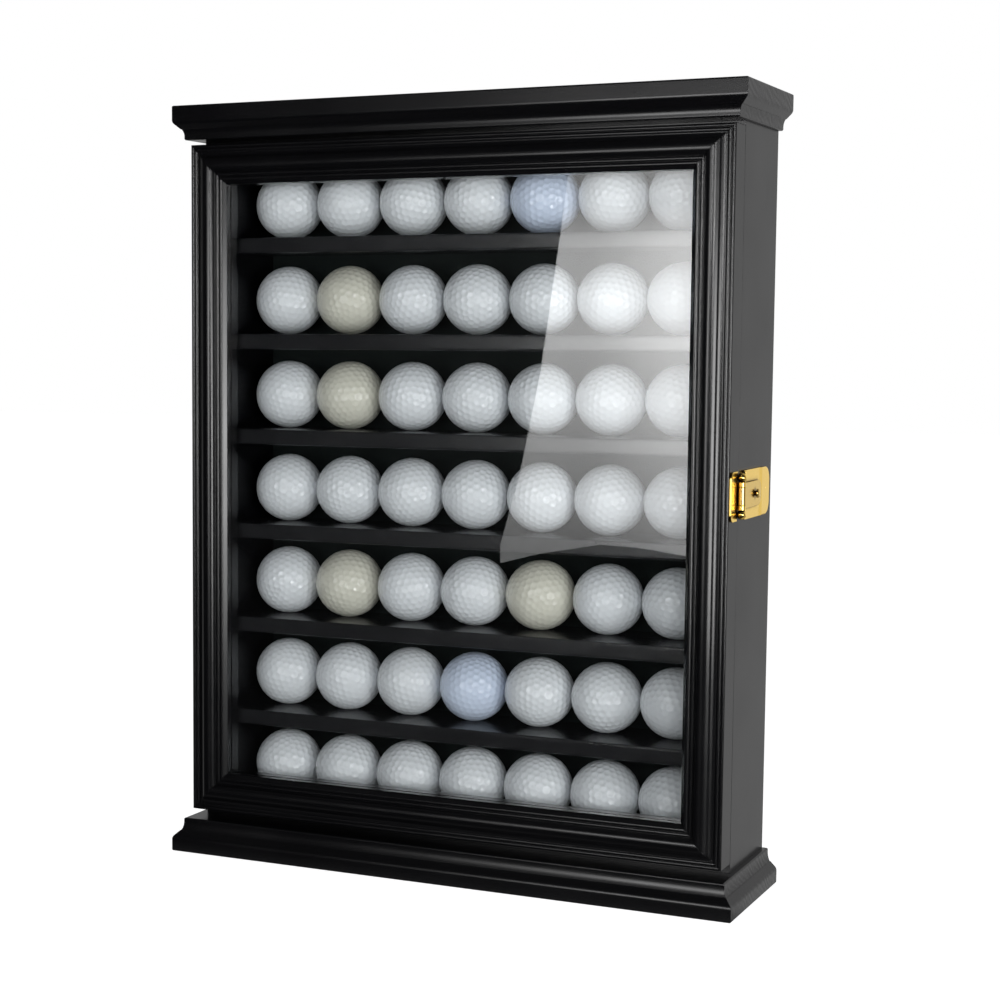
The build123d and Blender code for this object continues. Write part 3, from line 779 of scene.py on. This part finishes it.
def paper_floor():
    """White paper that reads as the background but keeps the object's shadow. In front of the object it
    leaves no mirror image, like the dark room of the photograph."""
    material, tree, output = new_material("White background paper")
    shown = background_seen(tree)
    lift = add(tree, "ShaderNodeMath", {0: shown, 1: FLOOR_LIFT}, operation="MULTIPLY")
    paper = add(tree, "ShaderNodeBsdfDiffuse", {"Color": linear("#e8e8e8")})
    glow = add(tree, "ShaderNodeEmission", {"Color": (1, 1, 1, 1), "Strength": lift.outputs[0]})
    seen = add(tree, "ShaderNodeAddShader", {0: paper.outputs[0], 1: glow.outputs[0]})
    place = add(tree, "ShaderNodeTexCoord").outputs["Object"]
    depth = add(tree, "ShaderNodeSeparateXYZ", {0: place}).outputs["Y"]
    room = add(tree, "ShaderNodeMapRange", {
        "Value": depth, "From Min": -0.08, "From Max": 0.0, "To Min": DIM_FLOOR, "To Max": LIT_ROOM},
        interpolation_type="SMOOTHSTEP")
    mirrored = add(tree, "ShaderNodeEmission", {"Color": (1, 1, 1, 1), "Strength": room.outputs[0]})
    # a ray that passed through glass counts as glossy too, so the shown background is taken off
    path = add(tree, "ShaderNodeLightPath")
    in_mirror = add(tree, "ShaderNodeMath", {
        0: path.outputs["Is Glossy Ray"], 1: shown}, operation="SUBTRACT", use_clamp=True)
    blend = add(tree, "ShaderNodeMixShader", {
        0: in_mirror.outputs[0], 1: seen.outputs[0], 2: mirrored.outputs[0]})
    tree.links.new(blend.outputs[0], output.inputs[0])
    return material


class DISPLAYCASE_OT_stage(bpy.types.Operator):
    """Sets the floor, the lamps and the camera"""

    bl_idname = "display_case.stage"
    bl_label = "Stage"

    def execute(self, context):
        scene = context.scene
        settings = scene.display_case_stage
        scene.view_settings.view_transform = "Standard"
        studio_world()
        mesh = bpy.data.meshes.new("Floor")
        corners = [(FLOOR_REACH * x, FLOOR_REACH * y, 0) for x, y in ((-1, -1), (1, -1), (1, 1), (-1, 1))]
        mesh.from_pydata(corners, [], [(0, 1, 2, 3)])
        floor = make_object("floor", mesh)
        dress(floor, paper_floor())

        # the softbox that the glass mirrors, and the wall behind it that it lights
        lit_card("softbox", SOFTBOX_OUTLINE, settings.softbox_y, glowing_cloth(
            "Softbox cloth", settings.softbox_strength, SOFTBOX_RISE, SOFTBOX_CLIMB))
        lit_card("wall", WALL_OUTLINE, settings.softbox_y - WALL_BEHIND_SOFTBOX, glowing_cloth(
            "Lit wall", settings.wall_strength, WALL_RISE, WALL_CLIMB))

        area_lamp("window", (1.15, -0.8, 0.1), CASE_MIDDLE, 0.6, 0.6, settings.window_strength)
        fill = area_lamp("fill", (0.35, -1.5, 0.27), (0, 0, 0.2), 1.4, 0.6, settings.fill_strength)
        fill.visible_glossy = False
        # two small lamps beside the camera, whose images glint in the dimples
        area_lamp("right_spot", (0.82, -1.25, 0.46), CASE_MIDDLE, 0.17, 0.17, settings.spot_strength)
        area_lamp("left_spot", (0.36, -1.42, 0.52), CASE_MIDDLE, 0.13, 0.13, settings.spot_strength)

        # pale walls behind and to the right, and behind the camera, which only the brassware mirrors
        brassware = bpy.data.collections.new("Brassware")
        for node in BRASSWARE:
            brassware.objects.link(NODES[node])
        for name in ("hasp_case_screws_heads", "hasp_door_screws_heads"):
            brassware.objects.link(bpy.data.objects[name])
        for name, place, height, strength in (
                ("rear_reflector", (0.75, 1.2, 0.24), 1.6, settings.reflector_strength),
                ("front_reflector", (0.75, -1.8, 0.3), 0.6, settings.front_reflector_strength)):
            glow = area_lamp(name, place, HASP_PLACE, 1.8, height, strength)
            glow.visible_camera = glow.visible_transmission = False
            glow.light_linking.receiver_collection = brassware

        data = bpy.data.cameras.new("camera")
        camera = bpy.data.objects.new("camera", data)
        scene.collection.objects.link(camera)
        turn = camera_turn(CAMERA_YAW, CAMERA_PITCH, CAMERA_ROLL)
        camera.matrix_world = Matrix.Translation(CAMERA_PLACE) @ turn.to_4x4()
        data.sensor_width = SENSOR_WIDTH
        data.lens = CAMERA_LENS * data.sensor_width
        data.shift_x, data.shift_y = CAMERA_SHIFT
        data.clip_start, data.clip_end = 0.01, 100.0
        scene.camera = camera
        return {"FINISHED"}


# ---- settings, panel and registration -----------------------------------------------------------
class DISPLAYCASE_PG_balls(bpy.types.PropertyGroup):
    """Golf balls"""

    dimple_rows: IntProperty(
        name="Dimple rows", description="Dimples along each edge of the ball's icosahedral pattern",
        default=6, min=3, max=8)
    dimple_width: FloatProperty(
        name="Dimple width", description="Width of one dimple, in millimetres",
        default=4.0, min=1.0, max=5.0)
    dimple_depth: FloatProperty(
        name="Dimple depth", description="Depth of one dimple, in millimetres",
        default=0.44, min=0.0, max=0.6)
    white: FloatVectorProperty(
        name="White", description="Colour of a new ball's paint", subtype="COLOR", size=3, min=0, max=1,
        default=linear("#e2e4e8")[:3])


class DISPLAYCASE_PG_lacquer(bpy.types.PropertyGroup):
    """Lacquer"""

    colour: FloatVectorProperty(
        name="Colour", description="Colour of the lacquer", subtype="COLOR", size=3, min=0, max=1,
        default=linear("#09090b")[:3])
    shelf_colour: FloatVectorProperty(
        name="Shelf colour", description="Colour of the single coat on the shelves",
        subtype="COLOR", size=3, min=0, max=1, default=linear("#1a1a1c")[:3])
    roughness: FloatProperty(
        name="Roughness", description="0 is a mirror gloss and 1 is dead flat", subtype="FACTOR",
        default=0.22, min=0, max=1)


class DISPLAYCASE_PG_brass(bpy.types.PropertyGroup):
    """Brassware"""

    colour: FloatVectorProperty(
        name="Colour", description="Colour of the brass plating", subtype="COLOR", size=3, min=0, max=1,
        default=linear("#ebc76c")[:3])
    # painted shade: the tongue's plating colour, a darker copy of the brass so the tongue reads darker than
    # the plate
    shaded_tongue_colour: FloatVectorProperty(
        name="Shaded tongue colour", description="Darker copy of the plating colour on the tongue, painted shade",
        subtype="COLOR", size=3, min=0, max=1, default=linear("#d3b269")[:3])


class DISPLAYCASE_PG_stage(bpy.types.PropertyGroup):
    """Stage"""

    softbox_y: FloatProperty(
        name="Softbox place", description="Where the softbox stands along Y", unit="LENGTH", default=-1.5)
    softbox_strength: FloatProperty(
        name="Softbox strength", description="Brightness of the softbox in front of the door",
        default=7.6, min=0)
    wall_strength: FloatProperty(
        name="Wall strength", description="Brightness of the wall behind the softbox",
        default=0.46, min=0)
    window_strength: FloatProperty(
        name="Window strength", description="Brightness of the lamp at the right",
        default=11.0, min=0)
    reflector_strength: FloatProperty(
        name="Reflector strength", description="Brightness of the pale wall that the brassware mirrors",
        default=0.5, min=0)
    front_reflector_strength: FloatProperty(
        name="Front reflector strength",
        description="Brightness of the lit wall that round brassware mirrors", default=1.2, min=0)
    spot_strength: FloatProperty(
        name="Spot strength", description="Brightness of the small lamps beside the camera",
        default=24.0, min=0)
    fill_strength: FloatProperty(
        name="Fill strength", description="Brightness of the soft fill from the front", default=1.2, min=0)


class DISPLAYCASE_PT_panel(bpy.types.Panel):
    bl_label = "Display Case"
    bl_idname = "DISPLAYCASE_PT_panel"
    bl_space_type = "VIEW_3D"
    bl_region_type = "UI"
    bl_category = "Display Case"

    def draw(self, context):
        layout = self.layout
        for operator in OPERATORS:
            layout.operator(operator.bl_idname)
        for name, group in SETTINGS.items():
            box = layout.box()
            box.label(text=group.__doc__)
            for key in group.__annotations__:
                box.prop(getattr(context.scene, name), key)


SETTINGS = {
    "display_case_balls": DISPLAYCASE_PG_balls,
    "display_case_lacquer": DISPLAYCASE_PG_lacquer,
    "display_case_brass": DISPLAYCASE_PG_brass,
    "display_case_stage": DISPLAYCASE_PG_stage,
}
OPERATORS = (
    DISPLAYCASE_OT_woodwork,
    DISPLAYCASE_OT_back,
    DISPLAYCASE_OT_glazing,
    DISPLAYCASE_OT_brassware,
    DISPLAYCASE_OT_golf_balls,
    DISPLAYCASE_OT_screws,
    DISPLAYCASE_OT_stage,
)


def register():
    for name, group in SETTINGS.items():
        bpy.utils.register_class(group)
        setattr(bpy.types.Scene, name, PointerProperty(type=group))
    for operator in OPERATORS:
        bpy.utils.register_class(operator)
    bpy.utils.register_class(DISPLAYCASE_PT_panel)


def unregister():
    bpy.utils.unregister_class(DISPLAYCASE_PT_panel)
    for operator in reversed(OPERATORS):
        bpy.utils.unregister_class(operator)
    for name, group in reversed(SETTINGS.items()):
        delattr(bpy.types.Scene, name)
        bpy.utils.unregister_class(group)


def main():
    register()
    for operator in OPERATORS:
        group, name = operator.bl_idname.split(".")
        getattr(getattr(bpy.ops, group), name)()


if __name__ == "__main__":
    main()
